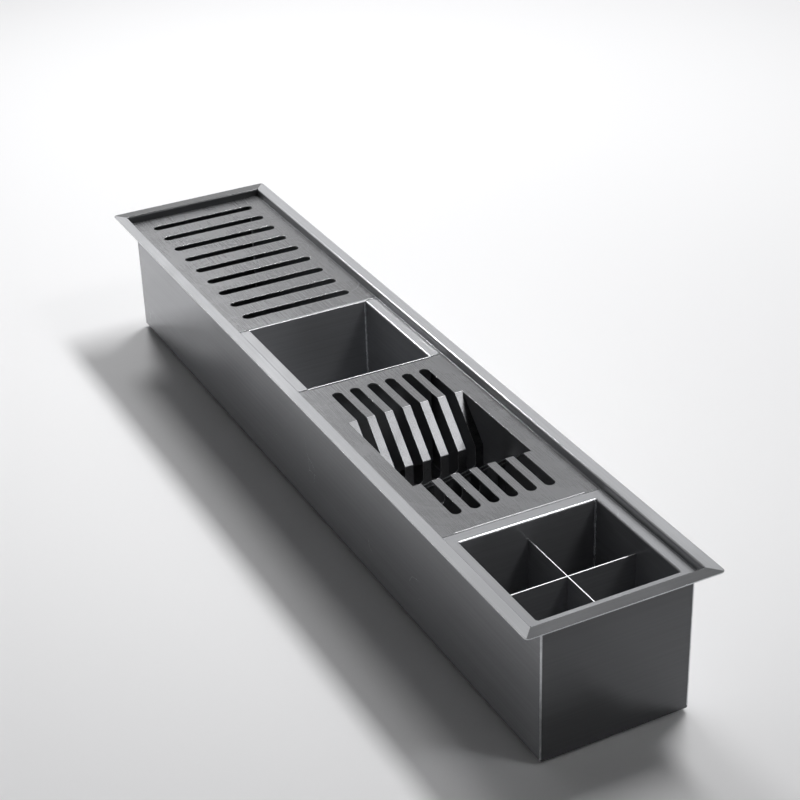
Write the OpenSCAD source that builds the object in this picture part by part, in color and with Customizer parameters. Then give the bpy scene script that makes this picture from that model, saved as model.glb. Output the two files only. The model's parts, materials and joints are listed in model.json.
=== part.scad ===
// Integrated trough sink: a long folded steel trough whose two ledges carry a slotted
// drain board, a deep box, a folded plate rack and a four-part caddy, end to end.
// X runs along the trough towards the caddy, Y across it and Z up. The origin is on
// the ground under the middle of the trough.

/* [Trough] */
// Length of the trough body over its end plates
body_l = 1304; // [1240:1:1500]
// Width of the trough body over its long walls
body_w = 208; // [200:1:250]
// Height of the trough body from the floor's underside to the top of the rim
body_h = 200; // [190:1:260]
// Thickness of the trough's sheet
basin_t = 1.5; // [1:0.1:2]
// Inside radius of the trough's folds
basin_bend_r = 1.5; // [0.8:0.1:2]
// Width of the rim flange on the long sides
flange_w = 18; // [14:0.5:40]
// Width of the rim flange at the two ends
end_flange_w = 20; // [14:0.5:40]
// Radius of the rim's outer corners
rim_corner_r = 6; // [3:0.5:12]
// Radius ground on the trough's welded upright corners
weld_corner_r = 1.2; // [0.4:0.1:1.4]
// Width of the ledge that carries the inserts
ledge_w = 14; // [10:0.5:20]
// Depth of the ledge below the top of the rim
ledge_drop = 12.5; // [10:0.5:16]

/* [Drain] */
// Distance of the drain from the middle of the trough, towards the caddy
drain_offset = 20; // [-200:1:200]
// Diameter of the drain hole
drain_hole_d = 90; // [80:1:94]
// Diameter of the pressed recess around the drain hole
drain_recess_d = 110; // [106:1:130]
// Depth of the pressed recess below the floor
drain_recess_drop = 3.5; // [2:0.1:4]
// Width of the recess's sloping side, seen from above
drain_recess_slope = 4; // [2:0.5:6]

/* [Sound pads] */
// Thickness of the rubber pads under the floor
pad_t = 5; // [4.5:0.5:8]
// Distance of the pads from the trough's edges
pad_inset = 16; // [8:1:30]
// Distance between the drain recess and the pads
pad_drain_gap = 14; // [5:1:40]
// Radius of the pads' corners
pad_corner_r = 8; // [2:1:20]

/* [Inserts] */
// Thickness of the inserts' sheet
insert_t = 1.5; // [1:0.1:2]
// Inside radius of the inserts' folds
insert_bend_r = 1.2; // [0.8:0.1:1.5]
// Gap between neighbouring inserts and at the ends of the row
insert_gap = 1; // [0.5:0.1:1.8]
// Gap between an insert's plate and the fold under the trough's riser, on each side
insert_side_gap = 0.5; // [0.2:0.1:2]
// Radius of the plates' corners
plate_corner_r = 5; // [2:0.5:8]
// Depth of the folded lips below the plates' top
lip_drop = 15; // [10:0.5:20]
// Gap between a folded lip's end and the trough's wall
lip_side_gap = 2; // [1:0.5:10]
// Radius of the lips' lower corners
lip_corner_r = 3; // [1:0.5:5]
// Width of the slit beside the end of a fold, where the flat plate goes on
fold_relief = 0.4; // [0.2:0.1:0.8]

/* [Drain board] */
// Distance from one slot to the next
board_slot_pitch = 46.5; // [36:0.5:60]
// Width of a slot
board_slot_w = 16; // [8:0.5:20]
// Distance between a slot's end and the board's long edge
board_slot_inset = 27; // [20:1:50]
// Least distance between the first slot and the board's end
board_end_margin = 30; // [22:1:50]

/* [Deep box] */
// Length of the box along the trough
box_l = 208; // [180:1:230]
// Depth of the box below its flange
box_h = 174; // [120:1:176]
// Gap between the box's wall and the trough's wall
box_wall_gap = 6.5; // [3:0.5:9]
// Gap between the box's flange and the fold under the trough's riser, on each side
box_side_gap = 3; // [0.5:0.1:4]

/* [Plate rack] */
// Length of the rack along the trough
rack_l = 416; // [390:1:440]
// Gap between the rack's plate and the fold under the trough's riser, on each side
rack_side_gap = 1.5; // [0.2:0.1:3]
// Flat stretch between the rack's rear end and its first fold
rack_rear_flat = 109; // [90:1:120]
// Width of the flat rails beside the pocket
rack_rail_w = 26.5; // [18:0.5:32]
// Number of slots that hold the dishes
rack_slots = 6; // [3:1:8]
// Width of a dish slot
rack_slot_w = 15; // [8:0.5:17]
// Distance between the dish slots' round ends and the rack's rear end
rack_slot_rear = 26; // [18:1:40]
// Distance between the dish slots' round ends and the rack's front end
rack_slot_front = 37; // [18:1:50]
// Depth of the slots' lower ends below the top of the plate
rack_slot_depth = 90; // [75:1:105]
// Length of the rear slope along the trough
rack_rear_run = 57; // [45:1:65]
// Length of the front slope along the trough
rack_front_run = 68; // [50:1:75]
// Drop of the two slopes
rack_slope_drop = 56; // [45:1:62]
// Width of the pocket between its two upright walls
pocket_gap = 60; // [40:1:70]
// Depth of the pocket below the top of the plate
pocket_drop = 131; // [115:1:150]

/* [Caddy] */
// Length of the caddy along the trough
caddy_l = 217; // [190:1:240]
// Depth of the caddy below its flange
caddy_h = 135; // [90:1:160]
// Width of the caddy's flange at its two ends
caddy_flange_w = 18; // [12:0.5:24]
// Gap between the caddy's wall and the trough's wall
caddy_wall_gap = 4; // [2:0.5:8]
// Depth of the dividers' tops below the caddy's flange
divider_drop = 28; // [10:1:50]
// Gap where the two dividers cross
divider_fit = 0.1; // [0.05:0.01:0.3]

/* [Hidden] */
$fn = 64;
// Straight pieces in the outline of one fold
fold_steps = 6;
// How far a cut runs past the solid that it cuts
overrun = 1;

// Levels
floor_z = pad_t;
rim_z = floor_z + body_h;
ledge_z = rim_z - ledge_drop;

// Trough
basin_fold = basin_bend_r + basin_t / 2;
inner_l = body_l - 2 * basin_t;
wall_y = body_w / 2 - basin_t;
riser_y = wall_y + ledge_w;
overall_l = inner_l + 2 * end_flange_w;
overall_w = 2 * (riser_y + flange_w);
rim_mid_z = rim_z - basin_t / 2;
flange_flat_y = riser_y + basin_t + basin_bend_r;
flange_flat_x = inner_l / 2 + basin_t + basin_bend_r;
riser_top_z = rim_z - basin_t - basin_bend_r;

// Drain
drain_x = drain_offset;
recess_r = drain_recess_d / 2;
hole_r = drain_hole_d / 2;

// Inserts in their row, from the rear wall to the front wall
insert_fold = insert_bend_r + insert_t / 2;
insert_fold_end = insert_bend_r + insert_t;
ledge_edge_y = riser_y - basin_bend_r;
plate_w = 2 * (ledge_edge_y - insert_side_gap);
lip_w = 2 * (wall_y - lip_side_gap);
board_l = inner_l - box_l - rack_l - caddy_l - 5 * insert_gap;
board_x = insert_gap - inner_l / 2;
box_x = board_x + board_l + insert_gap;
rack_x = box_x + box_l + insert_gap;
caddy_x = rack_x + rack_l + insert_gap;

// Drain board
board_slot_l = plate_w - 2 * board_slot_inset;
board_slots = floor((board_l - 2 * board_end_margin - board_slot_w) / board_slot_pitch) + 1;
board_first_slot = (board_l - (board_slots - 1) * board_slot_pitch) / 2;

// Deep box
box_w = 2 * (wall_y - box_wall_gap);
box_over_flanges = 2 * (ledge_edge_y - box_side_gap);

// Plate rack
rack_w = 2 * (ledge_edge_y - rack_side_gap);
pocket_w = rack_w - 2 * rack_rail_w;
rack_slot_pitch = (pocket_w + rack_slot_w) / (rack_slots + 1);
strip_w = rack_slot_pitch - rack_slot_w;
fold_1_x = rack_rear_flat;
rear_wall_x = fold_1_x + rack_rear_run;
front_wall_x = rear_wall_x + pocket_gap;
fold_2_x = front_wall_x + rack_front_run;
rear_flat_x = fold_1_x / 2;
front_flat_x = (fold_2_x + rack_l) / 2;
rack_lip_w = min(lip_w, pocket_w + strip_w);

// Caddy
caddy_w = plate_w;
caddy_inner_w = 2 * (wall_y - caddy_wall_gap - insert_t);
caddy_inner_l = caddy_l - 2 * caddy_flange_w;
divider_h = caddy_h - insert_t - divider_drop;

steel = "#55575b";
steel_light = "#77797e";
rubber = "#1d1d1f";

// Direction in which the line from a to b runs
function heading(a, b) = atan2(b[1] - a[1], b[0] - a[0]);

// Signed angle from one direction to another, at most half a turn
function turn(from, to) =
    let(d = to - from)
    d > 180 ? d - 360 : d < -180 ? d + 360 : d;

// Unit vector to the left of a direction
function left_of(a) = [-sin(a), cos(a)];

// One face of a folded sheet. path holds the corners of the sheet's middle line, r is
// that line's fold radius, and the face lies s to the left of it.
function sheet_face(path, r, s) = [
    for (i = [0 : len(path) - 1])
        let(
            first = i == 0,
            last = i == len(path) - 1,
            coming = first ? heading(path[0], path[1]) : heading(path[i - 1], path[i]),
            going = last ? coming : heading(path[i], path[i + 1]),
            fold = turn(coming, going),
            side = fold > 0 ? 1 : -1,
            reach = r * tan(abs(fold) / 2),
            start = path[i] - reach * [cos(coming), sin(coming)],
            centre = start + side * r * left_of(coming)
        )
        each (first || last)
            ? [path[i] + s * left_of(going)]
            : [
                for (k = [0 : fold_steps])
                    centre + (s - side * r) * left_of(coming + fold * k / fold_steps)
            ]
];

function backwards(list) = [for (i = [len(list) - 1 : -1 : 0]) list[i]];

// Closed outline of a folded sheet of thickness t
function sheet_outline(path, r, t) =
    concat(sheet_face(path, r, t / 2), backwards(sheet_face(path, r, -t / 2)));

// A path and its mirror image, joined at the mirror line
function both_sides(half) =
    concat([for (p = half) [-p[0], p[1]]], backwards(half));

// Extrudes a Y-Z outline along X, centred
module along_x(length) {
    rotate([90, 0, 90])
        linear_extrude(length, center = true)
            children();
}

// Extrudes an X-Z outline along Y, centred
module along_y(length) {
    rotate([90, 0, 0])
        linear_extrude(length, center = true)
            children();
}

// What a rounded corner takes away: the outer corner of a square of side r at the origin
module corner_waste(r) {
    difference() {
        square(r + overrun);
        circle(r);
    }
}

// Children on the +Y side and their mirror image on the -Y side
module on_both_sides() {
    for (side = [0, 1])
        mirror([0, side, 0])
            children();
}

// Children at all four corners, mirrored
module at_four_corners() {
    for (end = [0, 1])
        mirror([end, 0, 0])
            on_both_sides()
                children();
}

// Flat rectangle with four round corners, centred
module round_rect(length, width, r) {
    difference() {
        square([length, width], center = true);
        at_four_corners()
            translate([length / 2 - r, width / 2 - r])
                corner_waste(r);
    }
}

// Slot with round ends along X, centred
module round_slot(length, width) {
    square([length - width, width], center = true);
    for (s = [-1, 1])
        translate([s * (length - width) / 2, 0])
            circle(width / 2);
}

// Takes the lower corners off a sheet near x = 0 that is width wide and ends at z = bottom
module lower_corner_cuts(width, bottom, r) {
    on_both_sides()
        translate([0, width / 2 - r, bottom + r])
            rotate([0, 90, 0])
                linear_extrude(2 * lip_drop, center = true)
                    corner_waste(r);
}

// Trough

// The rim flange's outline, seen from above
module rim_outline() {
    round_rect(overall_l, overall_w, rim_corner_r);
}

// The long flanges' share of the rim, mitred to the end flanges
module long_flange_share() {
    on_both_sides()
        polygon([
            [-body_l / 2, riser_y + basin_t], [body_l / 2, riser_y + basin_t],
            [overall_l / 2, overall_w / 2], [-overall_l / 2, overall_w / 2],
        ]);
}

// Pressed recess with the drain hole in it, turned about the drain's axis
module drain_recess() {
    seat_r = recess_r - drain_recess_slope;
    rotate_extrude($fn = 96)
        polygon([
            [hole_r, -drain_recess_drop], [seat_r, -drain_recess_drop],
            [recess_r, 0], [recess_r + overrun, 0],
            [recess_r + overrun, basin_t], [recess_r, basin_t],
            [seat_r, basin_t - drain_recess_drop], [hole_r, basin_t - drain_recess_drop],
        ]);
}

// Floor, long walls, ledges and long flanges, folded from one sheet
module basin_channel() {
    half = [
        [overall_w / 2, rim_mid_z],
        [riser_y + basin_t / 2, rim_mid_z],
        [riser_y + basin_t / 2, ledge_z - basin_t / 2],
        [wall_y + basin_t / 2, ledge_z - basin_t / 2],
        [wall_y + basin_t / 2, floor_z + basin_t / 2],
    ];
    color(steel) {
        difference() {
            along_x(inner_l)
                polygon(sheet_outline(both_sides(half), basin_fold, basin_t));
            translate([drain_x, 0, floor_z - overrun])
                cylinder(h = basin_t + 2 * overrun, r = recess_r, $fn = 96);
        }
        translate([drain_x, 0, floor_z])
            drain_recess();
        translate([0, 0, rim_z - basin_t])
            linear_extrude(basin_t)
                difference() {
                    intersection() {
                        rim_outline();
                        long_flange_share();
                    }
                    square([inner_l, 2 * flange_flat_y], center = true);
                }
    }
}

// End wall with its flange, at the front end; the rear one is its mirror image
module basin_end_plate() {
    shoulder_z = ledge_z - basin_t;
    fold_path = [
        [inner_l / 2 + basin_t / 2, shoulder_z],
        [inner_l / 2 + basin_t / 2, rim_mid_z],
        [overall_l / 2, rim_mid_z],
    ];
    color(steel) {
        difference() {
            translate([0, 0, floor_z])
                linear_extrude(shoulder_z - floor_z + overrun)
                    difference() {
                        translate([inner_l / 2, -body_w / 2])
                            square([basin_t, body_w]);
                        on_both_sides()
                            translate([body_l / 2 - weld_corner_r, body_w / 2 - weld_corner_r])
                                corner_waste(weld_corner_r);
                    }
            translate([body_l / 2, 0, 0])
                lower_corner_cuts(body_w, floor_z, basin_bend_r + basin_t);
        }
        translate([inner_l / 2, -riser_y - basin_t, shoulder_z])
            cube([basin_t, 2 * (riser_y + basin_t), riser_top_z - shoulder_z]);
        along_y(2 * riser_y)
            polygon(sheet_outline(fold_path, basin_fold, basin_t));
        on_both_sides()
            translate([inner_l / 2, riser_y, shoulder_z])
                cube([basin_t, basin_t, rim_mid_z - shoulder_z]);
        translate([0, 0, rim_z - basin_t])
            linear_extrude(basin_t)
                difference() {
                    intersection() {
                        rim_outline();
                        translate([inner_l / 2, -overall_w / 2])
                            square([end_flange_w, overall_w]);
                    }
                    long_flange_share();
                    square([2 * flange_flat_x, 2 * riser_y], center = true);
                }
    }
}

module basin_front_plate() {
    basin_end_plate();
}

module basin_rear_plate() {
    mirror([1, 0, 0])
        basin_end_plate();
}

// Rubber pad between the places from_x and to_x along the trough
module sound_pad(from_x, to_x) {
    color(rubber)
        translate([(from_x + to_x) / 2, 0, 0])
            linear_extrude(pad_t)
                round_rect(to_x - from_x, body_w - 2 * pad_inset, pad_corner_r);
}

module sound_pad_rear() {
    sound_pad(pad_inset - body_l / 2, drain_x - recess_r - pad_drain_gap);
}

module sound_pad_front() {
    sound_pad(drain_x + recess_r + pad_drain_gap, body_l / 2 - pad_inset);
}

// What the flat plate leaves free around a fold at x = 0 that is width wide
module fold_opening(width) {
    square([2 * insert_fold_end, width + 2 * fold_relief], center = true);
}

// Drain board

// Slotted plate with a lip folded down at each end
module drain_board() {
    lip_path = [
        [insert_t / 2, insert_t - lip_drop],
        [insert_t / 2, insert_t / 2],
        [board_l - insert_t / 2, insert_t / 2],
        [board_l - insert_t / 2, insert_t - lip_drop],
    ];
    color(steel_light)
        translate([board_x, 0, ledge_z])
            difference() {
                union() {
                    along_y(lip_w)
                        polygon(sheet_outline(lip_path, insert_fold, insert_t));
                    linear_extrude(insert_t)
                        difference() {
                            translate([board_l / 2, 0])
                                round_rect(board_l, plate_w, plate_corner_r);
                            for (x = [0, board_l])
                                translate([x, 0])
                                    fold_opening(lip_w);
                        }
                }
                for (i = [0 : board_slots - 1])
                    translate([board_first_slot + i * board_slot_pitch, 0, -overrun])
                        linear_extrude(insert_t + 2 * overrun)
                            rotate(90)
                                round_slot(board_slot_l, board_slot_w);
                for (x = [0, board_l])
                    translate([x, 0, 0])
                        lower_corner_cuts(lip_w, insert_t - lip_drop, lip_corner_r);
            }
}

// Deep box

// Floor, side walls and flanges of the box, folded from one sheet
module box_channel() {
    half = [
        [box_over_flanges / 2, insert_t / 2],
        [box_w / 2 - insert_t / 2, insert_t / 2],
        [box_w / 2 - insert_t / 2, insert_t * 3 / 2 - box_h],
    ];
    color(steel)
        translate([box_x + box_l / 2, 0, ledge_z])
            difference() {
                along_x(box_l - 2 * insert_t)
                    polygon(sheet_outline(both_sides(half), insert_fold, insert_t));
                translate([0, 0, -overrun])
                    linear_extrude(insert_t + 2 * overrun)
                        at_four_corners()
                            translate([
                                box_l / 2 - insert_t - plate_corner_r,
                                box_over_flanges / 2 - plate_corner_r,
                            ])
                                corner_waste(plate_corner_r);
            }
}

// Flat plate that closes one end of the box, from x to x plus the sheet's thickness
module box_end_plate(x) {
    color(steel)
        translate([x, 0, ledge_z + insert_t - box_h])
            difference() {
                translate([0, -box_w / 2, 0])
                    cube([insert_t, box_w, box_h]);
                lower_corner_cuts(box_w, 0, insert_bend_r + insert_t);
            }
}

module box_rear_plate() {
    box_end_plate(box_x);
}

module box_front_plate() {
    box_end_plate(box_x + box_l - insert_t);
}

// Plate rack

// Middle line of the slopes and the pocket, between the flat ends of the plate
pocket_path = [
    [rear_flat_x, insert_t / 2],
    [fold_1_x, insert_t / 2],
    [rear_wall_x, insert_t / 2 - rack_slope_drop],
    [rear_wall_x, insert_t * 3 / 2 - pocket_drop],
    [front_wall_x, insert_t * 3 / 2 - pocket_drop],
    [front_wall_x, insert_t / 2 - rack_slope_drop],
    [fold_2_x, insert_t / 2],
    [front_flat_x, insert_t / 2],
];

// Middle line of a lip at x = 0 and of the flat sheet up to x = reach
function lip_path(reach) = [
    [insert_t / 2, insert_t - lip_drop],
    [insert_t / 2, insert_t / 2],
    [reach, insert_t / 2],
];

// Dish slot seen from above: it runs from its rear round end to its front one
module dish_slot_plan() {
    slot_l = rack_l - rack_slot_rear - rack_slot_front;
    translate([rack_slot_rear + slot_l / 2, 0])
        round_slot(slot_l, rack_slot_w);
}

// Dish slot seen along the trough: it ends in a half circle in the pocket's walls
module dish_slot_end() {
    slot_r = rack_slot_w / 2;
    centre_z = insert_t - rack_slot_depth + slot_r;
    translate([0, centre_z])
        circle(slot_r);
    translate([-slot_r, centre_z])
        square([rack_slot_w, rack_slot_depth]);
}

// One dish slot through the plate, the slopes and the pocket's upright walls
module dish_slot() {
    translate([0, 0, -overrun])
        linear_extrude(insert_t + 2 * overrun)
            dish_slot_plan();
    translate([(fold_1_x + fold_2_x) / 2, 0, 0])
        along_x(fold_2_x - fold_1_x)
            dish_slot_end();
}

// The flat parts of the rack's plate that lie outside its folded strips
module rack_flat_plan() {
    difference() {
        translate([rack_l / 2, 0])
            round_rect(rack_l, rack_w, plate_corner_r);
        for (x = [0, rack_l])
            translate([x, 0])
                fold_opening(rack_lip_w);
        translate([(fold_1_x + fold_2_x) / 2, 0]) {
            square([fold_2_x - fold_1_x + 2 * insert_fold_end, pocket_w + 2 * fold_relief],
                center = true);
            square([fold_2_x - fold_1_x, 2 * rack_w], center = true);
        }
    }
}

// Plate ends, slopes and pocket, folded from one slotted sheet
module rack_sheet() {
    color(steel_light)
        translate([rack_x, 0, ledge_z])
            difference() {
                union() {
                    along_y(pocket_w)
                        polygon(sheet_outline(pocket_path, insert_fold, insert_t));
                    along_y(rack_lip_w)
                        polygon(sheet_outline(lip_path(rear_flat_x), insert_fold, insert_t));
                    translate([rack_l, 0, 0])
                        mirror([1, 0, 0])
                            along_y(rack_lip_w)
                                polygon(sheet_outline(
                                    lip_path(rack_l - front_flat_x), insert_fold, insert_t));
                    linear_extrude(insert_t)
                        rack_flat_plan();
                }
                for (i = [0 : rack_slots - 1])
                    translate([0, (i - (rack_slots - 1) / 2) * rack_slot_pitch, 0])
                        dish_slot();
                for (x = [0, rack_l])
                    translate([x, 0, 0])
                        lower_corner_cuts(rack_lip_w, insert_t - lip_drop, lip_corner_r);
            }
}

// Flat rail beside the pocket, on the side that is further from the front
module rack_rail_right() {
    color(steel_light)
        translate([rack_x + fold_1_x, pocket_w / 2, ledge_z])
            cube([fold_2_x - fold_1_x, rack_rail_w, insert_t]);
}

module rack_rail_left() {
    mirror([0, 1, 0])
        rack_rail_right();
}

// Caddy

// The caddy flange's outline, seen from above
module caddy_outline() {
    round_rect(caddy_l, caddy_w, plate_corner_r);
}

// The long flanges' share of the caddy's rim, mitred to the end flanges
module caddy_side_share() {
    wall_x = caddy_inner_l / 2 + insert_t;
    wall_top_y = caddy_inner_w / 2 + insert_t;
    on_both_sides()
        polygon([
            [-wall_x, wall_top_y], [wall_x, wall_top_y],
            [caddy_l / 2, caddy_w / 2], [-caddy_l / 2, caddy_w / 2],
        ]);
}

// Places its children at the middle of the caddy, on the ledges
module at_caddy() {
    translate([caddy_x + caddy_l / 2, 0, ledge_z])
        children();
}

// Floor, side walls and side flanges of the caddy, folded from one sheet
module caddy_channel() {
    half = [
        [caddy_w / 2, insert_t / 2],
        [caddy_inner_w / 2 + insert_t / 2, insert_t / 2],
        [caddy_inner_w / 2 + insert_t / 2, insert_t * 3 / 2 - caddy_h],
    ];
    color(steel)
        at_caddy() {
            along_x(caddy_inner_l)
                polygon(sheet_outline(both_sides(half), insert_fold, insert_t));
            linear_extrude(insert_t)
                difference() {
                    intersection() {
                        caddy_outline();
                        caddy_side_share();
                    }
                    square([caddy_inner_l, caddy_inner_w + 2 * insert_fold_end], center = true);
                }
        }
}

// Wall with its flange that closes the caddy's front end
module caddy_end_plate() {
    fold_path = [
        [caddy_inner_l / 2 + insert_t / 2, insert_t - caddy_h],
        [caddy_inner_l / 2 + insert_t / 2, insert_t / 2],
        [caddy_l / 2, insert_t / 2],
    ];
    difference() {
        union() {
            along_y(caddy_inner_w)
                polygon(sheet_outline(fold_path, insert_fold, insert_t));
            translate([caddy_inner_l / 2, -caddy_inner_w / 2 - insert_t, insert_t - caddy_h])
                cube([insert_t, caddy_inner_w + 2 * insert_t, caddy_h - insert_fold_end]);
            on_both_sides()
                translate([caddy_inner_l / 2, caddy_inner_w / 2, insert_t - caddy_h])
                    cube([insert_t, insert_t, caddy_h - insert_t / 2]);
        }
        translate([caddy_inner_l / 2, 0, 0])
            lower_corner_cuts(
                caddy_inner_w + 2 * insert_t, insert_t - caddy_h, insert_bend_r + insert_t);
    }
    linear_extrude(insert_t)
        difference() {
            intersection() {
                caddy_outline();
                translate([caddy_inner_l / 2, -caddy_w / 2])
                    square([caddy_flange_w, caddy_w]);
            }
            caddy_side_share();
            square([caddy_inner_l + 2 * insert_fold_end, caddy_inner_w], center = true);
        }
}

module caddy_front_plate() {
    color(steel)
        at_caddy()
            caddy_end_plate();
}

module caddy_rear_plate() {
    color(steel)
        at_caddy()
            mirror([1, 0, 0])
                caddy_end_plate();
}

// Divider across the caddy, notched from above where the long one crosses it
module caddy_cross_divider() {
    notch = insert_t + 2 * divider_fit;
    color(steel_light)
        at_caddy()
            translate([-insert_t / 2, -caddy_inner_w / 2, insert_t * 2 - caddy_h])
                difference() {
                    cube([insert_t, caddy_inner_w, divider_h]);
                    translate([-overrun, (caddy_inner_w - notch) / 2, divider_h / 2])
                        cube([insert_t + 2 * overrun, notch, divider_h]);
                    translate([0, caddy_inner_w / 2, 0])
                        lower_corner_cuts(caddy_inner_w, 0, insert_bend_r + divider_fit);
                }
}

// Divider along the caddy, notched from below where the cross one passes
module caddy_long_divider() {
    notch = insert_t + 2 * divider_fit;
    color(steel_light)
        at_caddy()
            translate([-caddy_inner_l / 2, -insert_t / 2, insert_t * 2 - caddy_h])
                difference() {
                    cube([caddy_inner_l, insert_t, divider_h]);
                    translate([(caddy_inner_l - notch) / 2, -overrun, -divider_h / 2])
                        cube([notch, insert_t + 2 * overrun, divider_h]);
                }
}

basin_channel();
basin_rear_plate();
basin_front_plate();
sound_pad_rear();
sound_pad_front();
drain_board();
box_channel();
box_rear_plate();
box_front_plate();
rack_sheet();
rack_rail_left();
rack_rail_right();
caddy_channel();
caddy_rear_plate();
caddy_front_plate();
caddy_cross_divider();
caddy_long_divider();
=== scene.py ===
"""Looks of an integrated trough sink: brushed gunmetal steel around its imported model."""
import json
import math

import bpy
from bpy.props import FloatProperty, FloatVectorProperty, IntProperty, PointerProperty
from bpy.types import Operator, Panel, PropertyGroup
from mathutils import Matrix, Vector
from mathutils.bvhtree import BVHTree


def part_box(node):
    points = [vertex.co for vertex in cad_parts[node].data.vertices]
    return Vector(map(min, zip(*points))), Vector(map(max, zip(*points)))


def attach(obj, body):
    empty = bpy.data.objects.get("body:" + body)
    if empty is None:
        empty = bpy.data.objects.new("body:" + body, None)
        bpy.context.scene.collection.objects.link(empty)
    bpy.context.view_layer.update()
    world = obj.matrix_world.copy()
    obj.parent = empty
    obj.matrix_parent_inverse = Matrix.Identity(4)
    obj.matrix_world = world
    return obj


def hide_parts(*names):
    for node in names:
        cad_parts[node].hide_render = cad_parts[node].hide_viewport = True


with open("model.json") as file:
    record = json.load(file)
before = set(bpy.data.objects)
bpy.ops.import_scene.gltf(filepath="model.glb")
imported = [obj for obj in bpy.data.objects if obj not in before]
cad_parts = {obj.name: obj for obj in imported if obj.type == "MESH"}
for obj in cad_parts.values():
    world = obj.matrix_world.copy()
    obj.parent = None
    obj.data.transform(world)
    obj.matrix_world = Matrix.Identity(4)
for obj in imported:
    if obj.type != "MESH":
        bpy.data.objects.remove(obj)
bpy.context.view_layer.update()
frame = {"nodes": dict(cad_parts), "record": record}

bl_info = {
    "name": "Integrated Trough Sink",
    "version": (1, 0, 0),
    "blender": (4, 5, 0),
    "location": "3D Viewport > Sidebar > Trough Sink",
    "description": "Finishes a folded steel trough sink and the four inserts on its ledges",
    "category": "Object",
}

NODES = frame["nodes"]
BODIES = frame["record"]["behaviour"]["bodies"]

# Sizes of the folded sheets and of the drain recess, as in the CAD source, in metres
SHEET_T = 0.0015
BASIN_FOLD = 0.0015
INSERT_FOLD = 0.0012
BASIN_WALL_Y = 0.1025
BASIN_LEDGE_DROP = 0.0125
BASIN_FLANGE_X = 0.0185
DRAIN_X = 0.020
RECESS_RADIUS = 0.055
SEAT_RADIUS = 0.051

# Rounding of the recess, and the seams and beads, which end clear of the sheets' folds
RECESS_REACH = 0.0016
RECESS_ROUND = 0.0014
RECESS_ROUND_STEPS = 4
INSERT_SEAM_DROP = 0.0028
SEAM_DEPTH = 0.94
SEAM_PROFILE = 0.16
BEAD_SUNK = 0.0012
BEAD_SIDES = 32
BEAD_END_ROUND = 0.5

# Distances and angles that tell the kinds of face and edge apart
TOUCH = 0.00004
MERGE = 0.000004
PROBE_START = 0.00002
PROBE_REACH = 0.003
THROUGH_SHEET = 1.35 * SHEET_T
EDGE_PROBES = (0.1, 0.5, 0.9)
FLAT_DEGREES = 0.4
ROUND_DEGREES = 50
SHARP_DEGREES = 40
SEAM_DEGREES = 35

# Finishes, lights, room and camera
SATIN_LINES = 0.12
SATIN_WAVE = 0.0002
RUBBER_COLOUR = (0.022, 0.022, 0.024)
KEY_PLACE, KEY_AIM, KEY_GRID = (-1.35, 2.05, 4.2), (-1.35, 0, 0.1), 150
REAR_PLACE, REAR_AIM, REAR_SIZE, REAR_GRID = (-2.74, 0.43, 2.4), (0, 0, 0.1), 0.6, 130
FILL_PLACE, FILL_AIM, FILL_SIZE, FILL_GRID = (1.6, 1.24, 2.48), (0.1, 0, 0.2), 0.9, 30
ROOM_SHADES = ((0.0, 0.6), (0.2, 0.3), (0.4, 0.07), (1.0, 0.05))
GLOWS = (
    # direction, dot product at the edge and at full glow, heights of the band, brightness
    ((-0.985, 0.17, 0.0), 0.62, 0.80, (0.12, 0.30, 0.56, 0.72), "rear_glow"),
    ((-0.896, -0.443, 0.0), 0.80, 0.86, (0.40, 0.46, 0.52, 0.58), "side_glow"),
    ((0.88, 0.47, 0.0), 0.62, 0.80, (0.25, 0.40, 0.60, 0.75), "front_glow"),
)
CAMERA_PLACE = (2.1114, -0.9914, 1.457)
CAMERA_AZIMUTH, CAMERA_ELEVATION, CAMERA_ROLL = 1.1117, 0.5136, -0.0339
SENSOR_WIDTH = 36


class SteelSettings(PropertyGroup):
    """Finish of the folded sheets"""

    trough_colour: FloatVectorProperty(
        name="Trough colour", description="Colour of the long folded sheets' metal coating",
        subtype="COLOR", size=3, min=0, max=1, default=(0.40, 0.406, 0.42))
    # Painted shade: the end plates are the same steel as the long sheets, set much darker so the
    # end faces read as shaded
    painted_shade_end_colour: FloatVectorProperty(
        name="End painted shade colour", description="Painted shade colour of the trough's two end plates",
        subtype="COLOR", size=3, min=0, max=1, default=(0.11, 0.112, 0.117))
    caddy_colour: FloatVectorProperty(
        name="Caddy colour", description="Colour of the caddy and its dividers",
        subtype="COLOR", size=3, min=0, max=1, default=(0.33, 0.335, 0.348))
    insert_colour: FloatVectorProperty(
        name="Insert colour", description="Colour of the plate rack and the drain board",
        subtype="COLOR", size=3, min=0, max=1, default=(0.14, 0.142, 0.148))
    edge_colour: FloatVectorProperty(
        name="Cut edge colour", description="Colour of the sheets' laser-cut edges",
        subtype="COLOR", size=3, min=0, max=1, default=(0.62, 0.625, 0.64))
    weld_colour: FloatVectorProperty(
        name="Ground weld colour", description="Colour of the polished welds",
        subtype="COLOR", size=3, min=0, max=1, default=(0.55, 0.56, 0.575))
    roughness: FloatProperty(
        name="Roughness", description="Roughness of the brushed coating",
        subtype="FACTOR", min=0, max=1, default=0.15)
    metal_share: FloatProperty(
        name="Metal share", description="Metallic share of the steel; the rest is its pale haze",
        subtype="FACTOR", min=0, max=1, default=0.52)
    satin_roughness: FloatProperty(
        name="Satin roughness", description="Roughness of the rack and the drain board",
        subtype="FACTOR", min=0, max=1, default=0.26)
    grain_width: FloatProperty(
        name="Grain width", description="Width of one brush line",
        subtype="DISTANCE", unit="LENGTH", min=0.0001, max=0.005, default=0.00045)
    grain_length: FloatProperty(
        name="Grain length", description="Length of one brush line",
        subtype="DISTANCE", unit="LENGTH", min=0.005, max=0.5, default=0.06)
    edge_radius: FloatProperty(
        name="Edge radius", description="Radius broken on the sheets' sharp edges",
        subtype="DISTANCE", unit="LENGTH", min=0.00005, max=0.0006, default=0.00025)


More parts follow.
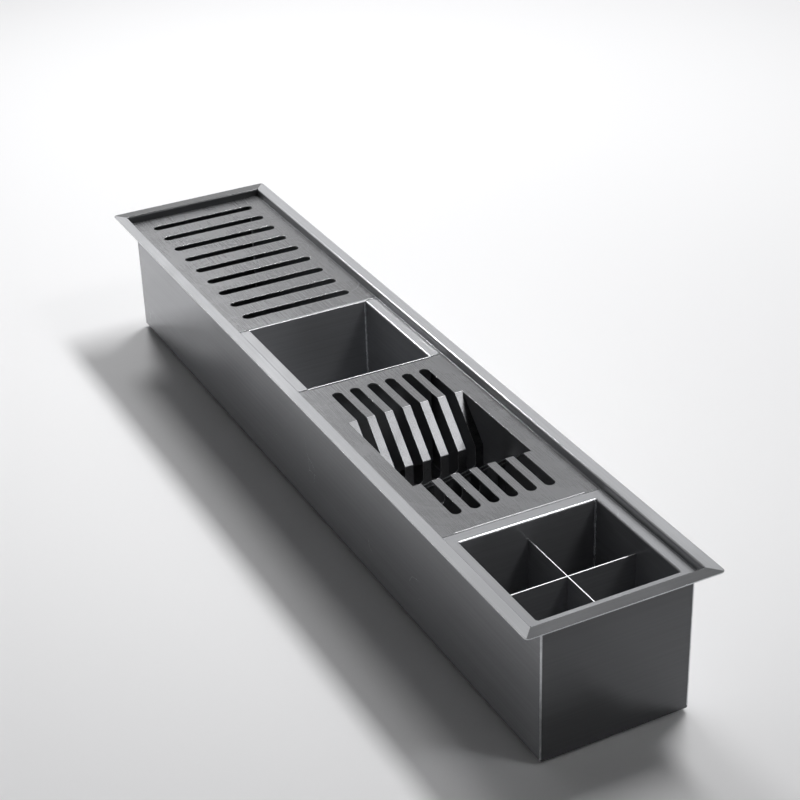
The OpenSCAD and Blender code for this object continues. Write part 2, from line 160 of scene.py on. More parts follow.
class WeldSettings(PropertyGroup):
    """Sizes of the weld seams"""

    bead_radius: FloatProperty(
        name="Corner bead radius", description="Radius of the polished bead up an outer corner",
        subtype="DISTANCE", unit="LENGTH", min=0.0012, max=0.003, default=0.0014)
    leg: FloatProperty(
        name="Seam leg", description="Leg of the ground seam in an inner corner",
        subtype="DISTANCE", unit="LENGTH", min=0.0005, max=0.004, default=0.0022)
    curve_steps: IntProperty(
        name="Curve steps", description="Straight pieces in the seam's hollow face",
        min=2, max=16, default=6)


class StudioSettings(PropertyGroup):
    """Floor, lights and camera"""

    floor_colour: FloatVectorProperty(
        name="Floor colour", description="Colour of the pale floor",
        subtype="COLOR", size=3, min=0, max=1, default=(0.83, 0.83, 0.84))
    floor_size: FloatProperty(
        name="Floor size", description="Length of the floor's sides",
        subtype="DISTANCE", unit="LENGTH", min=5, max=100, default=40)
    key_power: FloatProperty(
        name="Key light", description="Power of the long light above the trough's far side",
        subtype="POWER", unit="POWER", min=0, max=2000, default=116)
    key_length: FloatProperty(
        name="Key length", description="Length of the key light, along the trough",
        subtype="DISTANCE", unit="LENGTH", min=0.1, max=5, default=2.4)
    key_width: FloatProperty(
        name="Key width", description="Width of the key light, across the trough",
        subtype="DISTANCE", unit="LENGTH", min=0.1, max=5, default=0.6)
    rear_power: FloatProperty(
        name="Rear light", description="Power of the light beyond the trough's rear end",
        subtype="POWER", unit="POWER", min=0, max=500, default=20)
    fill_power: FloatProperty(
        name="Fill light", description="Power of the gridded light past the trough's front end",
        subtype="POWER", unit="POWER", min=0, max=500, default=0.8)
    sky_strength: FloatProperty(
        name="Room light", description="Brightness of the room around the floor",
        min=0, max=3, default=1.0)
    rear_glow: FloatProperty(
        name="Rear glow", description="Brightness of the room's pale wall behind the rear end",
        min=0, max=5, default=1.0)
    side_glow: FloatProperty(
        name="Side glow", description="Brightness of the glow that the trough's floor mirrors",
        min=0, max=5, default=0.9)
    front_glow: FloatProperty(
        name="Front glow", description="Brightness of the room's wall past the front end",
        min=0, max=5, default=0.12)
    lens: FloatProperty(
        name="Lens", description="Focal length of the camera",
        subtype="DISTANCE_CAMERA", unit="CAMERA", min=20, max=300, default=84.59)


def settings():
    return bpy.context.scene.trough_sink_steel


def weld_settings():
    return bpy.context.scene.trough_sink_weld


def studio_settings():
    return bpy.context.scene.trough_sink_studio


# Shader node groups

def new_group(name, inputs, outputs):
    """An empty shader node group with the named sockets, and its two end nodes."""
    group = bpy.data.node_groups.new(name, "ShaderNodeTree")
    for socket, kind, default in inputs:
        item = group.interface.new_socket(socket, in_out="INPUT", socket_type=kind)
        if default is not None:
            item.default_value = default
    for socket, kind in outputs:
        group.interface.new_socket(socket, in_out="OUTPUT", socket_type=kind)
    return group, group.nodes.new("NodeGroupInput"), group.nodes.new("NodeGroupOutput")


def feed(tree, node, links):
    """Links or sets a node's inputs."""
    for socket, value in links:
        target = node.inputs[socket]
        if isinstance(value, bpy.types.NodeSocket):
            tree.links.new(value, target)
        else:
            target.default_value = value
    return node


def add(tree, kind, links=(), **values):
    """A node of a kind, with values on it and with its inputs linked or set."""
    node = tree.nodes.new(kind)
    for key, value in values.items():
        setattr(node, key, value)
    return feed(tree, node, links)


def brushed_grain_group():
    """Brush lines: Density holds the lines per metre along each axis."""
    group, start, end = new_group(
        "Brushed Grain",
        [("Vector", "NodeSocketVector", None), ("Density", "NodeSocketVector", (20, 2000, 2000)),
         ("Coarse Share", "NodeSocketFloat", 0.2)],
        [("Fine", "NodeSocketFloat"), ("Coarse", "NodeSocketFloat"), ("Height", "NodeSocketFloat")])
    dense = add(group, "ShaderNodeVectorMath", operation="MULTIPLY", links=[
        (0, start.outputs["Vector"]), (1, start.outputs["Density"])])
    fine = add(group, "ShaderNodeTexNoise", links=[
        ("Vector", dense.outputs[0]), ("Scale", 1.0), ("Detail", 3.0), ("Roughness", 0.65)])
    wide = add(group, "ShaderNodeVectorMath", operation="SCALE", links=[
        (0, dense.outputs[0]), ("Scale", start.outputs["Coarse Share"])])
    coarse = add(group, "ShaderNodeTexNoise", links=[
        ("Vector", wide.outputs[0]), ("Scale", 1.0), ("Detail", 2.0), ("Roughness", 0.5)])
    crisp = add(group, "ShaderNodeMapRange", links=[
        ("Value", fine.outputs["Fac"]), ("From Min", 0.3), ("From Max", 0.7)])
    soft = add(group, "ShaderNodeMapRange", links=[
        ("Value", coarse.outputs["Fac"]), ("From Min", 0.32), ("From Max", 0.68)])
    mix = add(group, "ShaderNodeMath", operation="MULTIPLY_ADD", links=[
        (0, soft.outputs[0]), (1, 0.5), (2, crisp.outputs[0])])
    group.links.new(crisp.outputs[0], end.inputs["Fine"])
    group.links.new(soft.outputs[0], end.inputs["Coarse"])
    group.links.new(mix.outputs[0], end.inputs["Height"])
    return group


def sheet_wave_group():
    """The slight unevenness of a large thin sheet."""
    group, start, end = new_group(
        "Sheet Wave",
        [("Vector", "NodeSocketVector", None), ("Waves Per Metre", "NodeSocketFloat", 5.0)],
        [("Height", "NodeSocketFloat")])
    wave = add(group, "ShaderNodeTexNoise", links=[
        ("Vector", start.outputs["Vector"]), ("Scale", start.outputs["Waves Per Metre"]),
        ("Detail", 1.0), ("Roughness", 0.4), ("Distortion", 0.3)])
    group.links.new(wave.outputs["Fac"], end.inputs["Height"])
    return group


def handling_marks_group():
    """Wiped patches and hairline scratches from handling."""
    group, start, end = new_group(
        "Handling Marks",
        [("Vector", "NodeSocketVector", None)],
        [("Wiped", "NodeSocketFloat"), ("Scratch", "NodeSocketFloat")])
    cloud = add(group, "ShaderNodeTexNoise", links=[
        ("Vector", start.outputs["Vector"]), ("Scale", 9.0), ("Detail", 5.0),
        ("Roughness", 0.6), ("Distortion", 0.8)])
    wiped = add(group, "ShaderNodeMapRange", interpolation_type="SMOOTHSTEP", links=[
        ("Value", cloud.outputs["Fac"]), ("From Min", 0.38), ("From Max", 0.68)])
    bent = add(group, "ShaderNodeTexNoise", links=[
        ("Vector", start.outputs["Vector"]), ("Scale", 14.0), ("Detail", 1.0)])
    shift = add(group, "ShaderNodeMix", data_type="VECTOR", links=[
        (0, 0.06), (4, start.outputs["Vector"]), (5, bent.outputs["Color"])])
    cells = add(group, "ShaderNodeTexVoronoi", feature="DISTANCE_TO_EDGE", links=[
        ("Vector", shift.outputs[1]), ("Scale", 11.0)])
    line = add(group, "ShaderNodeMapRange", links=[
        ("Value", cells.outputs["Distance"]), ("From Min", 0.0), ("From Max", 0.004),
        ("To Min", 1.0), ("To Max", 0.0)])
    sparse = add(group, "ShaderNodeMapRange", links=[
        ("Value", bent.outputs["Fac"]), ("From Min", 0.56), ("From Max", 0.62)])
    scratch = add(group, "ShaderNodeMath", operation="MULTIPLY", links=[
        (0, line.outputs[0]), (1, sparse.outputs[0])])
    group.links.new(wiped.outputs[0], end.inputs["Wiped"])
    group.links.new(scratch.outputs[0], end.inputs["Scratch"])
    return group


def coating_tone_group():
    """The coating's colour with its slow drift and its brush lines."""
    group, start, end = new_group(
        "Coating Tone",
        [("Vector", "NodeSocketVector", None), ("Coating", "NodeSocketColor", (0.2, 0.2, 0.2, 1)),
         ("Lines", "NodeSocketFloat", 0.5), ("Line Depth", "NodeSocketFloat", 0.12),
         ("Drift", "NodeSocketFloat", 0.06)],
        [("Color", "NodeSocketColor")])
    slow = add(group, "ShaderNodeTexNoise", links=[
        ("Vector", start.outputs["Vector"]), ("Scale", 3.2), ("Detail", 2.0)])
    centred = add(group, "ShaderNodeMath", operation="SUBTRACT", links=[
        (0, slow.outputs["Fac"]), (1, 0.5)])
    drift = add(group, "ShaderNodeMath", operation="MULTIPLY", links=[
        (0, centred.outputs[0]), (1, start.outputs["Drift"])])
    line = add(group, "ShaderNodeMath", operation="SUBTRACT", links=[
        (0, start.outputs["Lines"]), (1, 0.5)])
    depth = add(group, "ShaderNodeMath", operation="MULTIPLY_ADD", links=[
        (0, line.outputs[0]), (1, start.outputs["Line Depth"]), (2, 1.0)])
    value = add(group, "ShaderNodeMath", operation="ADD", links=[
        (0, depth.outputs[0]), (1, drift.outputs[0])])
    cool = add(group, "ShaderNodeHueSaturation", links=[
        ("Color", start.outputs["Coating"]), ("Value", value.outputs[0]), ("Saturation", 1.0)])
    group.links.new(cool.outputs["Color"], end.inputs["Color"])
    return group


def stipple_group():
    """The fine pebbled face of moulded rubber."""
    group, start, end = new_group(
        "Rubber Stipple",
        [("Vector", "NodeSocketVector", None), ("Grains Per Metre", "NodeSocketFloat", 900.0)],
        [("Height", "NodeSocketFloat"), ("Dust", "NodeSocketFloat")])
    pebble = add(group, "ShaderNodeTexVoronoi", feature="SMOOTH_F1", links=[
        ("Vector", start.outputs["Vector"]), ("Scale", start.outputs["Grains Per Metre"]),
        ("Smoothness", 0.6)])
    cloud = add(group, "ShaderNodeTexNoise", links=[
        ("Vector", start.outputs["Vector"]), ("Scale", 22.0), ("Detail", 6.0)])
    dust = add(group, "ShaderNodeMapRange", links=[
        ("Value", cloud.outputs["Fac"]), ("From Min", 0.45), ("From Max", 0.75)])
    group.links.new(pebble.outputs["Distance"], end.inputs["Height"])
    group.links.new(dust.outputs[0], end.inputs["Dust"])
    return group


GROUP_MAKERS = {
    "Brushed Grain": brushed_grain_group,
    "Sheet Wave": sheet_wave_group,
    "Handling Marks": handling_marks_group,
    "Coating Tone": coating_tone_group,
    "Rubber Stipple": stipple_group,
}


def group_node(tree, name, links):
    """The named node group placed in a material's tree."""
    group = bpy.data.node_groups.get(name) or GROUP_MAKERS[name]()
    node = tree.nodes.new("ShaderNodeGroup")
    node.node_tree = group
    return feed(tree, node, links)


def new_material(name, slot, colour):
    """A material with only an output and a Principled BSDF, and its object coordinates."""
    material = bpy.data.materials.new(name)
    material["slot"] = slot
    material.use_nodes = True
    material.diffuse_color = (*colour, 1)
    tree = material.node_tree
    tree.nodes.clear()
    shader = tree.nodes.new("ShaderNodeBsdfPrincipled")
    output = tree.nodes.new("ShaderNodeOutputMaterial")
    tree.links.new(shader.outputs["BSDF"], output.inputs["Surface"])
    place = tree.nodes.new("ShaderNodeTexCoord").outputs["Object"]
    return material, tree, shader, place


def grain_density(axis):
    """Brush lines per metre along X, Y and Z for a grain that runs along one axis."""
    across = 1 / settings().grain_width
    along = 1 / settings().grain_length
    return tuple(along if i == axis else across for i in range(3))


def made_once(maker):
    """Makes a material the first time, and gives the same one after that."""
    def get(name, *rest):
        return bpy.data.materials.get(name) or maker(name, *rest)
    return get


@made_once
def brushed_steel(name, slot, colour, axis, roughness, depth=0.09, wave=0.0003):
    """Coated sheet steel, brushed along one axis."""
    material, tree, shader, place = new_material(name, slot, colour)
    grain = group_node(tree, "Brushed Grain", [
        ("Vector", place), ("Density", grain_density(axis)), ("Coarse Share", 0.16)])
    marks = group_node(tree, "Handling Marks", [("Vector", place)])
    tone = group_node(tree, "Coating Tone", [
        ("Vector", place), ("Coating", (*colour, 1)), ("Lines", grain.outputs["Coarse"]),
        ("Line Depth", depth)])
    tree.links.new(tone.outputs["Color"], shader.inputs["Base Color"])
    lines = add(tree, "ShaderNodeMapRange", links=[
        ("Value", grain.outputs["Fine"]),
        ("To Min", roughness * 0.86), ("To Max", roughness * 1.14)])
    wiped = add(tree, "ShaderNodeMath", operation="MULTIPLY_ADD", links=[
        (0, marks.outputs["Wiped"]), (1, 0.05), (2, lines.outputs[0])])
    scratched = add(tree, "ShaderNodeMath", operation="MULTIPLY_ADD", links=[
        (0, marks.outputs["Scratch"]), (1, 0.1), (2, wiped.outputs[0])])
    tree.links.new(scratched.outputs[0], shader.inputs["Roughness"])
    waves = group_node(tree, "Sheet Wave", [("Vector", place)])
    far = add(tree, "ShaderNodeBump", links=[
        ("Height", waves.outputs["Height"]), ("Strength", 1.0), ("Distance", wave)])
    near = add(tree, "ShaderNodeBump", links=[
        ("Height", grain.outputs["Height"]), ("Strength", 0.35), ("Distance", 0.00003),
        ("Normal", far.outputs["Normal"])])
    tree.links.new(near.outputs["Normal"], shader.inputs["Normal"])
    shader.inputs["Metallic"].default_value = settings().metal_share
    return material


@made_once
def cut_edge(name, slot, colour):
    """A laser-cut sheet edge, lightly dressed and brighter than the coating."""
    material, tree, shader, place = new_material(name, slot, colour)
    grain = group_node(tree, "Brushed Grain", [
        ("Vector", place), ("Density", (2600, 2600, 300)), ("Coarse Share", 0.3)])
    tone = group_node(tree, "Coating Tone", [
        ("Vector", place), ("Coating", (*colour, 1)), ("Lines", grain.outputs["Fine"]),
        ("Line Depth", 0.25), ("Drift", 0.3)])
    tree.links.new(tone.outputs["Color"], shader.inputs["Base Color"])
    rough = add(tree, "ShaderNodeMapRange", links=[
        ("Value", grain.outputs["Coarse"]), ("To Min", 0.24), ("To Max", 0.42)])
    tree.links.new(rough.outputs[0], shader.inputs["Roughness"])
    bump = add(tree, "ShaderNodeBump", links=[
        ("Height", grain.outputs["Height"]), ("Strength", 0.4), ("Distance", 0.00004)])
    tree.links.new(bump.outputs["Normal"], shader.inputs["Normal"])
    shader.inputs["Metallic"].default_value = 1.0
    return material


@made_once
def ground_weld(name, slot, colour):
    """A weld ground flush and polished along its length."""
    material, tree, shader, place = new_material(name, slot, colour)
    grain = group_node(tree, "Brushed Grain", [
        ("Vector", place), ("Density", (1500, 1500, 60)), ("Coarse Share", 0.2)])
    ripple = add(tree, "ShaderNodeTexNoise", links=[
        ("Vector", place), ("Scale", 160.0), ("Detail", 2.0)])
    heat = add(tree, "ShaderNodeMapRange", links=[
        ("Value", ripple.outputs["Fac"]), ("From Min", 0.3), ("From Max", 0.7),
        ("To Min", 0.35), ("To Max", 0.65)])
    tone = group_node(tree, "Coating Tone", [
        ("Vector", place), ("Coating", (*colour, 1)), ("Lines", heat.outputs[0]),
        ("Line Depth", 0.5), ("Drift", 0.2)])
    tree.links.new(tone.outputs["Color"], shader.inputs["Base Color"])
    rough = add(tree, "ShaderNodeMapRange", links=[
        ("Value", grain.outputs["Fine"]), ("To Min", 0.16), ("To Max", 0.34)])
    tree.links.new(rough.outputs[0], shader.inputs["Roughness"])
    bump = add(tree, "ShaderNodeBump", links=[
        ("Height", grain.outputs["Height"]), ("Strength", 0.3), ("Distance", 0.00005)])
    tree.links.new(bump.outputs["Normal"], shader.inputs["Normal"])
    shader.inputs["Metallic"].default_value = 1.0
    return material


@made_once
def moulded_rubber(name, slot, colour):
    """Black stippled rubber with a little dust."""
    material, tree, shader, place = new_material(name, slot, colour)
    stipple = group_node(tree, "Rubber Stipple", [("Vector", place)])
    tint = add(tree, "ShaderNodeMix", data_type="RGBA", links=[
        (0, stipple.outputs["Dust"]), (6, (*colour, 1)),
        (7, tuple(c * 2.6 + 0.01 for c in colour) + (1,))])
    tree.links.new(tint.outputs[2], shader.inputs["Base Color"])
    rough = add(tree, "ShaderNodeMapRange", links=[
        ("Value", stipple.outputs["Dust"]), ("To Min", 0.6), ("To Max", 0.82)])
    tree.links.new(rough.outputs[0], shader.inputs["Roughness"])
    bump = add(tree, "ShaderNodeBump", links=[
        ("Height", stipple.outputs["Height"]), ("Strength", 0.6), ("Distance", 0.0003)])
    tree.links.new(bump.outputs["Normal"], shader.inputs["Normal"])
    return material


def satin_steel(steel):
    """The duller steel of the rack and the drain board."""
    return brushed_steel("Satin steel", "insert_steel", tuple(steel.insert_colour), 0,
                         steel.satin_roughness, SATIN_LINES, SATIN_WAVE)


# Finished copies of the sheets

def deselect():
    """Object mode, with nothing selected."""
    if bpy.context.mode != "OBJECT":
        bpy.ops.object.mode_set(mode="OBJECT")
    bpy.ops.object.select_all(action="DESELECT")


def choose(piece):
    """Selects one object alone and makes it active."""
    deselect()
    piece.select_set(True)
    bpy.context.view_layer.objects.active = piece


def merged_copy(node, name):
    """A copy of a CAD node with its triangles merged into whole faces."""
    piece = bpy.data.objects.new(name, NODES[node].data.copy())
    piece.data.name = name
    piece.data.materials.clear()
    bpy.context.scene.collection.objects.link(piece)
    choose(piece)
    bpy.ops.object.mode_set(mode="EDIT")
    bpy.ops.mesh.select_mode(type="VERT")
    bpy.ops.mesh.select_all(action="SELECT")
    bpy.ops.mesh.remove_doubles(threshold=MERGE)
    bpy.ops.mesh.dissolve_limited(angle_limit=math.radians(FLAT_DEGREES))
    bpy.ops.object.mode_set(mode="OBJECT")
    if not piece.data.polygons:
        raise RuntimeError(f"the copy of {node} has no faces")
    return piece


def edit_elements(kind):
    """Sets edit mode's kind of element, with none selected, and goes back to object mode."""
    bpy.ops.object.mode_set(mode="EDIT")
    bpy.ops.mesh.select_mode(type=kind)
    bpy.ops.mesh.select_all(action="DESELECT")
    bpy.ops.object.mode_set(mode="OBJECT")


def bevel_selected(**sizes):
    """Bevels what is selected in the active object's mesh."""
    bpy.ops.object.mode_set(mode="EDIT")
    bpy.ops.mesh.bevel(**sizes)
    bpy.ops.object.mode_set(mode="OBJECT")


def surface_tree(objects):
    """One search tree over the faces of several objects."""
    points, faces = [], []
    for o in objects:
        base = len(points)
        points += [v.co.copy() for v in o.data.vertices]
        faces += [[base + i for i in p.vertices] for p in o.data.polygons]
    return BVHTree.FromPolygons(points, faces)


def mark_cut_faces(piece):
    """Gives the second material to faces that look along the sheet and not through it."""
    mesh = piece.data
    tree = surface_tree([piece])
    mesh.calc_loop_triangles()
    widest = {}
    for part in mesh.loop_triangles:
        found = widest.get(part.polygon_index)
        if found is None or part.area > found.area:
            widest[part.polygon_index] = part
    for face in mesh.polygons:
        inside = Vector(widest[face.index].center) - face.normal * PROBE_START
        point, _, _, depth = tree.ray_cast(inside, -face.normal, PROBE_REACH)
        face.material_index = 0 if point is not None and depth < THROUGH_SHEET else 1


def keep_sheets_flat(piece):
    """Shades folds and broken edges round, and leaves the flat sheet beside them flat."""
    bpy.ops.object.shade_smooth()
    mesh = piece.data
    limit = math.cos(math.radians(ROUND_DEGREES))
    weighted = [face.normal * face.area ** 2 for face in mesh.polygons]
    around = {}
    for face in mesh.polygons:
        for v in face.vertices:
            around.setdefault(v, []).append(face.index)
    normals = [Vector((0, 0, 1))] * len(mesh.loops)
    for face in mesh.polygons:
        for corner in face.loop_indices:
            total = Vector()
            for i in around[mesh.loops[corner].vertex_index]:
                if face.normal.dot(mesh.polygons[i].normal) > limit:
                    total += weighted[i]
            normals[corner] = total.normalized() if total.length > 0 else face.normal.copy()
    mesh.normals_split_custom_set(normals)


def break_edges(piece, others):
    """Rounds the sheet's sharp edges, apart from those welded to another sheet."""
    mesh = piece.data
    near = surface_tree(others) if others else None
    faces_of = {}
    for face in mesh.polygons:
        for key in face.edge_keys:
            faces_of.setdefault(key, []).append(face)
    sharp = math.radians(SHARP_DEGREES)
    weights = mesh.attributes.new("bevel_weight_edge", "FLOAT", "EDGE")
    for edge in mesh.edges:
        pair = faces_of.get(tuple(sorted(edge.vertices)), [])
        if len(pair) != 2 or pair[0].normal.angle(pair[1].normal, 0) < sharp:
            continue
        a, b = (mesh.vertices[i].co for i in edge.vertices)
        if near:
            gaps = [near.find_nearest(a.lerp(b, t))[3] for t in EDGE_PROBES]
            if max(gaps) < TOUCH:
                continue
        weights.data[edge.index].value = 1.0
    bevel = piece.modifiers.new("Broken edges", "BEVEL")
    bevel.limit_method = "WEIGHT"
    bevel.width = settings().edge_radius
    bevel.segments = 2
    bevel.material = 1
    bevel.use_clamp_overlap = True
    choose(piece)
    bpy.ops.object.modifier_apply(modifier=bevel.name)
    keep_sheets_flat(piece)


def round_ring(piece, centre_x, radius):
    """Rounds the level edges of both faces of the sheet that run round the drain at a radius."""
    mesh = piece.data
    choose(piece)
    edit_elements("EDGE")
    for edge in mesh.edges:
        ends = [mesh.vertices[i].co for i in edge.vertices]
        rings = [math.hypot(p.x - centre_x, p.y) for p in ends]
        level = abs(ends[0].z - ends[1].z) < TOUCH
        edge.select = level and all(abs(r - radius) < RECESS_REACH for r in rings)
    bevel_selected(offset=RECESS_ROUND, segments=RECESS_ROUND_STEPS)


def finish_sheet(node, body, steel, edge, shape=None):
    """Replaces a CAD sheet by its merged copy with broken edges and bright cut faces."""
    piece = merged_copy(node, node + "_finished")
    if shape:
        shape(piece)
    piece.data.materials.append(steel)
    piece.data.materials.append(edge)
    mark_cut_faces(piece)
    break_edges(piece, [NODES[n] for n in BODIES[body] if n != node])
    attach(piece, body)
    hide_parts(node)


# Weld seams

def hollow_seam(name, start, end, side_a, side_b):
    """A seam with a hollow face along an inner corner, from start to end.
    side_a and side_b are the directions from the corner along the two sheets."""
    leg = weld_settings().leg
    start, end = Vector(start), Vector(end)
    run = end - start
    spread = Vector(side_a) + Vector(side_b)
    middle = (start + end) / 2 + spread * leg / 2
    scale = [abs(run[i]) if abs(run[i]) > leg else leg for i in range(3)]
    deselect()
    bpy.ops.mesh.primitive_cube_add(size=1, location=middle, scale=scale)
    seam = bpy.context.active_object
    bpy.ops.object.transform_apply(location=True, rotation=True, scale=True)
    seam.name = seam.data.name = name
    corner = (start + end) / 2 + spread * leg
    edit_elements("EDGE")
    points = [v.co for v in seam.data.vertices]
    free = min(seam.data.edges, key=lambda e: (
        (points[e.vertices[0]] + points[e.vertices[1]]) / 2 - corner).length)
    free.select = True
    bevel_selected(offset=leg * SEAM_DEPTH, segments=weld_settings().curve_steps,
                   profile=SEAM_PROFILE)
    return seam


def join_pieces(name, pieces):
    """Joins like pieces into one object at the origin."""
    deselect()
    for p in pieces:
        p.select_set(True)
    bpy.context.view_layer.objects.active = pieces[0]
    bpy.ops.object.join()
    joined = bpy.context.active_object
    joined.name = joined.data.name = name
    bpy.ops.object.shade_smooth_by_angle(angle=math.radians(SEAM_DEGREES))
    return joined


def corner_seams(name, low, high, fold):
    """Seams up the four inner corners of a welded box and along the foot of its two ends."""
    seams = []
    floor_z = low[2]
    for x, sx in ((low[0], 1), (high[0], -1)):
        for y, sy in ((low[1], 1), (high[1], -1)):
            seams.append(hollow_seam(
                name, (x, y, floor_z + fold), (x, y, high[2]), (sx, 0, 0), (0, sy, 0)))
        seams.append(hollow_seam(
            name, (x, low[1] + fold, floor_z), (x, high[1] - fold, floor_z), (sx, 0, 0), (0, 0, 1)))
    return join_pieces(name, seams)


def add_seams(name, body, low, high, fold, slot, colour):
    """Adds the seams of one welded box, in their own material, to its body."""
    seam = corner_seams(name, low, high, fold)
    seam.data.materials.append(ground_weld("Ground weld " + body, slot, colour))
    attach(seam, body)


def upright_bead(name, x, y, radius, bottom, top):
    """A rounded bead of weld up an outer corner, with its ends dressed round."""
    deselect()
    bpy.ops.mesh.primitive_cylinder_add(
        vertices=BEAD_SIDES, radius=radius, depth=top - bottom,
        location=(x, y, (top + bottom) / 2))
    bead = bpy.context.active_object
    bead.name = bead.data.name = name
    bpy.ops.object.transform_apply(location=True, rotation=True, scale=True)
    edit_elements("FACE")
    for face in bead.data.polygons:
        face.select = abs(face.normal.z) > 0.9
    bevel_selected(offset=radius * BEAD_END_ROUND, segments=3)
    return bead


# Operators

class TROUGHSINK_OT_trough(Operator):
    """Finish the trough's three welded sheets"""

    bl_idname = "troughsink.trough"
    bl_label = "Finish Trough"

    def execute(self, context):
        steel = settings()
        colour = tuple(steel.trough_colour)
        edge = cut_edge("Trough cut edge", "trough_steel", tuple(steel.edge_colour))
        polished = ground_weld("Trough ground corner", "trough_steel", tuple(steel.weld_colour))
        along = brushed_steel("Trough steel along", "trough_steel", colour, 0, steel.roughness)
        # The end plates get the steel darkened as painted shade, in place of the long sheets'
        # colour
        across = brushed_steel("Trough end steel", "trough_steel", tuple(steel.painted_shade_end_colour), 1,
                               steel.roughness)
        finish_sheet("basin_channel", "trough", along, edge, self.dish)
        for node in ("basin_rear_plate", "basin_front_plate"):
            finish_sheet(node, "trough", across, polished)
        return {"FINISHED"}

    def dish(self, piece):
        """Rounds the pressed drain recess where it leaves the floor and meets its seat."""
        for radius in (RECESS_RADIUS, SEAT_RADIUS):
            round_ring(piece, DRAIN_X, radius)


class TROUGHSINK_OT_pads(Operator):
    """Finish the rubber sound pads under the floor"""

    bl_idname = "troughsink.pads"
    bl_label = "Finish Sound Pads"

    def execute(self, context):
        rubber = moulded_rubber("Stippled rubber", "pad_rubber", RUBBER_COLOUR)
        for node in ("sound_pad_rear", "sound_pad_front"):
            NODES[node].data.materials.clear()
            NODES[node].data.materials.append(rubber)
        return {"FINISHED"}


class TROUGHSINK_OT_board(Operator):
    """Finish the slotted drain board"""

    bl_idname = "troughsink.board"
    bl_label = "Finish Drain Board"

    def execute(self, context):
        steel = settings()
        edge = cut_edge("Insert cut edge", "insert_steel", tuple(steel.edge_colour))
        finish_sheet("drain_board", "board", satin_steel(steel), edge)
        return {"FINISHED"}


class TROUGHSINK_OT_rack(Operator):
    """Finish the folded plate rack and its rails"""

    bl_idname = "troughsink.rack"
    bl_label = "Finish Plate Rack"

    def execute(self, context):
        steel = settings()
        edge = cut_edge("Insert cut edge", "insert_steel", tuple(steel.edge_colour))
        satin = satin_steel(steel)
        for node in ("rack_sheet", "rack_rail_left", "rack_rail_right"):
            finish_sheet(node, "rack", satin, edge)
        return {"FINISHED"}


class TROUGHSINK_OT_box(Operator):
    """Finish the deep box"""

    bl_idname = "troughsink.box"
    bl_label = "Finish Deep Box"

    def execute(self, context):
        steel = settings()
        colour = tuple(steel.trough_colour)
        edge = cut_edge("Box cut edge", "trough_steel", tuple(steel.edge_colour))
        along = brushed_steel("Box steel along", "trough_steel", colour, 0, steel.roughness)
        across = brushed_steel("Box steel across", "trough_steel", colour, 1, steel.roughness * 0.8)
        finish_sheet("box_channel", "box", along, edge)
        for node in ("box_rear_plate", "box_front_plate"):
            finish_sheet(node, "box", across, edge)
        return {"FINISHED"}


class TROUGHSINK_OT_caddy(Operator):
    """Finish the caddy and its two crossed dividers"""

    bl_idname = "troughsink.caddy"
    bl_label = "Finish Caddy"

    def execute(self, context):
        steel = settings()
        colour = tuple(steel.caddy_colour)
        edge = cut_edge("Caddy cut edge", "trough_steel", tuple(steel.edge_colour))
        along = brushed_steel("Caddy steel along", "trough_steel", colour, 0, steel.roughness)
        across = brushed_steel("Caddy steel across", "trough_steel", colour, 1, steel.roughness)
        finish_sheet("caddy_channel", "caddy", along, edge)
        for node in ("caddy_rear_plate", "caddy_front_plate", "caddy_cross_divider"):
            finish_sheet(node, "caddy", across, edge)
        finish_sheet("caddy_long_divider", "caddy", along, edge)
        return {"FINISHED"}


class TROUGHSINK_OT_seams(Operator):
    """Add the ground weld seams in the inner corners"""

    bl_idname = "troughsink.seams"
    bl_label = "Add Weld Seams"

    def execute(self, context):
        colour = tuple(settings().weld_colour)
        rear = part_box("basin_rear_plate")
        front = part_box("basin_front_plate")
        floor_z = front[0].z + SHEET_T
        ledge_z = front[1].z - BASIN_LEDGE_DROP - SHEET_T
        add_seams("trough_inner_seams", "trough", (rear[1].x, -BASIN_WALL_Y, floor_z),
                  (front[0].x, BASIN_WALL_Y, ledge_z), BASIN_FOLD, "trough_steel", colour)
        beads = []
        bead_x = front[1].x - BASIN_FLANGE_X - BEAD_SUNK
        bead_y = BASIN_WALL_Y + SHEET_T - BEAD_SUNK
        for x in (-bead_x, bead_x):
            for y in (-bead_y, bead_y):
                beads.append(upright_bead(
                    "corner_bead", x, y, weld_settings().bead_radius, floor_z + BASIN_FOLD,
                    ledge_z))
        bead = join_pieces("trough_corner_beads", beads)
        bead.data.materials.append(ground_weld("Polished corner bead", "trough_steel", colour))
        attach(bead, "trough")
        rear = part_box("box_rear_plate")
        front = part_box("box_front_plate")
        add_seams("box_inner_seams", "box",
                  (rear[1].x, rear[0].y + SHEET_T, rear[0].z + SHEET_T),
                  (front[0].x, rear[1].y - SHEET_T, rear[1].z - INSERT_SEAM_DROP),
                  INSERT_FOLD, "trough_steel", colour)
        low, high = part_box("caddy_channel")
        floor_low, floor_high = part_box("caddy_cross_divider")
        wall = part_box("caddy_long_divider")
        add_seams("caddy_inner_seams", "caddy",
                  (wall[0].x, floor_low.y, low.z + SHEET_T),
                  (wall[1].x, floor_high.y, high.z - INSERT_SEAM_DROP),
                  INSERT_FOLD, "trough_steel", colour)
        return {"FINISHED"}


